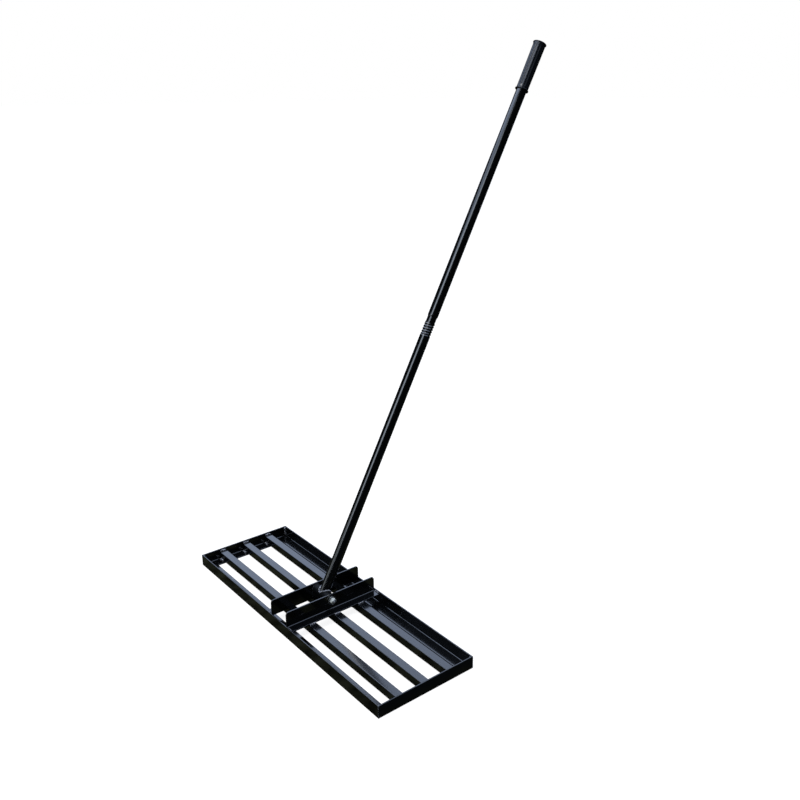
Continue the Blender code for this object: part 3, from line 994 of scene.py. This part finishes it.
def add_upright(name, sides, rows):
    """A piece turned about Z at the origin, grown through rows of height and radius."""
    height, radius = rows[0]
    bpy.ops.object.select_all(action="DESELECT")
    bpy.ops.mesh.primitive_circle_add(vertices=sides, radius=radius, location=(0, 0, height))
    piece = named(name)
    bpy.ops.object.mode_set(mode="EDIT")
    bpy.ops.mesh.select_all(action="SELECT")
    for next_height, next_radius in rows[1:]:
        rise = {"value": (0, 0, next_height - height)}
        bpy.ops.mesh.extrude_region_move(TRANSFORM_OT_translate=rise)
        size = next_radius / radius
        bpy.ops.transform.resize(value=(size, size, 1), center_override=(0, 0, next_height))
        height, radius = next_height, next_radius
    bpy.ops.mesh.select_all(action="SELECT")
    bpy.ops.mesh.normals_make_consistent(inside=False)
    bpy.ops.object.mode_set(mode="OBJECT")
    return piece


def roll_thread(piece):
    """Presses the right-handed thread into an upright tube. It fades in and out by half a turn."""
    for vert in piece.data.vertices:
        height = vert.co.z
        fade = min(height - lower_plain, lower_end - height) / (thread_pitch / 2)
        turn = math.atan2(vert.co.y, vert.co.x)
        wave = math.cos(2 * math.pi * (height - lower_plain) / thread_pitch - turn)
        depth = thread_depth * max(0.0, min(1.0, fade)) * (1 - wave) / 2
        across = Vector((vert.co.x, vert.co.y, 0)).normalized()
        vert.co -= across * depth


def thread_heights(start):
    count = round((lower_end - start) / thread_pitch * thread_steps)
    return [start + (lower_end - start) * row / count for row in range(count + 1)]


def place_on_handle(piece):
    """Leans an upright piece with the handle and sets it on the pivot."""
    piece.data.transform(handle_frame)
    smooth(piece)


lower_rows = [(0, tube_radius), (sleeve_radius + foot_ring, tube_radius)]
lower_rows += [(height, tube_radius) for height in thread_heights(lower_plain)]
lower_tube = add_upright("lower_handle_tube", tube_sides, lower_rows)
roll_thread(lower_tube)
for vert in lower_tube.data.vertices:
    if vert.co.z < sleeve_radius / 2:
        seat_height = math.sqrt(max(0, sleeve_radius ** 2 - vert.co.y ** 2))
        vert.co.z = seat_height + foot_gap
finish_with(lower_tube, "SOLIDIFY", thickness=tube_wall, offset=-1)
place_on_handle(lower_tube)
fit(lower_tube, black_paint, "black_paint", "handle", "lower_tube")


# Handle bead
# The weld round the handle's foot, laid by hand in drops like the others. It rides over the
# sleeve like a saddle, and alone holds the handle on it.

saddle_radius = 0.0030
saddle_step = 0.0023
saddle_round = 0.6

path = tube_radius + saddle_radius / 4
crown = sleeve_radius + saddle_radius / 3
count = round(2 * math.pi * path / saddle_step)
bpy.ops.object.select_all(action="DESELECT")
for step in range(count):
    angle = 2 * math.pi * step / count
    rise = math.sqrt(crown ** 2 - (path * math.sin(angle)) ** 2)
    radius = saddle_radius * welder.uniform(*free_drop_sizes)
    bpy.ops.mesh.primitive_uv_sphere_add(
        segments=drop_sides, ring_count=drop_rings, radius=radius, scale=(1, saddle_round, 1),
        rotation=(0, 0, angle), location=(path * math.cos(angle), path * math.sin(angle), rise),
    )
    if bpy.context.mode == "OBJECT":
        saddle = named("handle_bead")
        bpy.ops.object.mode_set(mode="EDIT")
bpy.ops.object.mode_set(mode="OBJECT")
finish_with(saddle, "REMESH", mode="VOXEL", voxel_size=bead_voxel)
bpy.ops.object.select_all(action="DESELECT")
bpy.ops.mesh.primitive_cylinder_add(
    vertices=tube_sides, radius=tube_radius - bead_sink, depth=4 * sleeve_radius,
    location=(0, 0, 2 * sleeve_radius),
)
carve(saddle, named("tube_space"))
bpy.ops.object.select_all(action="DESELECT")
bpy.ops.mesh.primitive_cylinder_add(
    vertices=tube_sides, radius=sleeve_radius - bead_sink, depth=sleeve_high.x - sleeve_low.x,
    rotation=(0, math.pi / 2, 0),
)
carve(saddle, named("sleeve_space"))
place_on_handle(saddle)
fit(saddle, bead_paint, "black_paint", "handle", "handle_weld")


# Upper tube
# The upper half of the handle. Its lower end is necked down and screws into the lower tube, and
# a rounded shoulder joins the neck to the full tube.

neck_gap = 0.0003
neck_length = 0.0145
shoulder_length = 0.006
shoulder_steps = 10
handle_length = 1.389
grip_end = 0.003

neck_radius = tube_radius - tube_wall - neck_gap
shoulder_base = lower_end + neck_length
upper_rows = [(height, neck_radius) for height in thread_heights(lower_plain + thread_pitch / 2)]
for step in range(shoulder_steps + 1):
    angle = math.pi / 2 * step / shoulder_steps
    rise = shoulder_length * (1 - math.cos(angle))
    spread = (tube_radius - neck_radius) * math.sin(angle)
    upper_rows.append((shoulder_base + rise, neck_radius + spread))
upper_rows.append((handle_length - grip_end - neck_gap, tube_radius))
upper_tube = add_upright("upper_handle_tube", tube_sides, upper_rows)
roll_thread(upper_tube)
finish_with(upper_tube, "SOLIDIFY", thickness=tube_wall, offset=-1)
place_on_handle(upper_tube)
fit(upper_tube, black_paint, "black_paint", "handle", "upper_tube")


# Grip
# A moulded rubber sleeve pushed over the top of the handle. It widens a little towards the top,
# has shallow grooves along it, a flange at each end and a closed top.

grip_length = 0.117
grip_bore = 0.0128
grip_foot = 0.01425
grip_crown = 0.0150
grip_reach = 0.0165
grip_flange = 0.0020
grip_round = 0.0009
grip_sides = 192
grip_bands = 40
rim_steps = 4
groove_count = 12
groove_turn = math.radians(10)
groove_depth = 0.0008
smooth_band = 0.006
groove_run_out = 0.002
rubber_colours = ((0.0045, 0.0055, 0.0075, 1), (0.0085, 0.0100, 0.0130, 1))
rubber_cloud = 40
rubber_grain = 1500
skin_strength = 0.012
skin_depth = 0.0002

rubber, shader, place = principled("rubber")
cloud = noise(place, rubber_cloud, 4)
feed(
    shader,
    Base_Color=mixed(cloud, *rubber_colours),
    Roughness=0.22 + cloud * 0.08,
    Normal=dented(noise(place, rubber_grain, 3), skin_strength, skin_depth),
)

grip_base = handle_length - grip_length
foot_flange = grip_base + grip_flange
top_flange = handle_length - grip_flange


def body_radius(height):
    share = (height - foot_flange) / (top_flange - foot_flange)
    return grip_foot + (grip_crown - grip_foot) * share


def rounded_flange(low, high):
    """Rows up a flange whose rims are rounded."""
    rows = []
    angles = [math.pi / 2 * step / rim_steps for step in range(rim_steps + 1)]
    for angle in angles:
        drop = grip_round * (1 - math.sin(angle))
        rows.append((low + grip_round - grip_round * math.cos(angle), grip_reach - drop))
    for angle in angles:
        drop = grip_round * (1 - math.cos(angle))
        rows.append((high - grip_round + grip_round * math.sin(angle), grip_reach - drop))
    return rows


grip_rows = [(handle_length - grip_end, grip_bore), (grip_base, grip_bore)]
grip_rows += rounded_flange(grip_base, foot_flange)
grip_rows.append((foot_flange, body_radius(foot_flange)))
for step in range(grip_bands + 1):
    height = foot_flange + (top_flange - foot_flange) * (step + 0.5) / (grip_bands + 1)
    grip_rows.append((height, body_radius(height)))
grip_rows.append((top_flange, body_radius(top_flange)))
grip_rows += rounded_flange(top_flange, handle_length)
grip = add_upright("hand_grip", grip_sides, grip_rows)
choose(grip)
bpy.ops.object.mode_set(mode="EDIT")
close_turned(grip, False)
for vert in grip.data.vertices:
    across = Vector((vert.co.x, vert.co.y, 0))
    inside = min(vert.co.z - foot_flange, top_flange - vert.co.z) - smooth_band
    if across.length > (grip_bore + grip_foot) / 2 and inside > -groove_run_out:
        fade = min(1.0, (inside + groove_run_out) / groove_run_out)
        turn = math.atan2(vert.co.y, vert.co.x) - groove_turn
        wave = (1 - math.cos(groove_count * turn)) / 2
        vert.co -= across.normalized() * groove_depth * fade * wave
place_on_handle(grip)
fit(grip, rubber, "rubber", "handle", "grip")
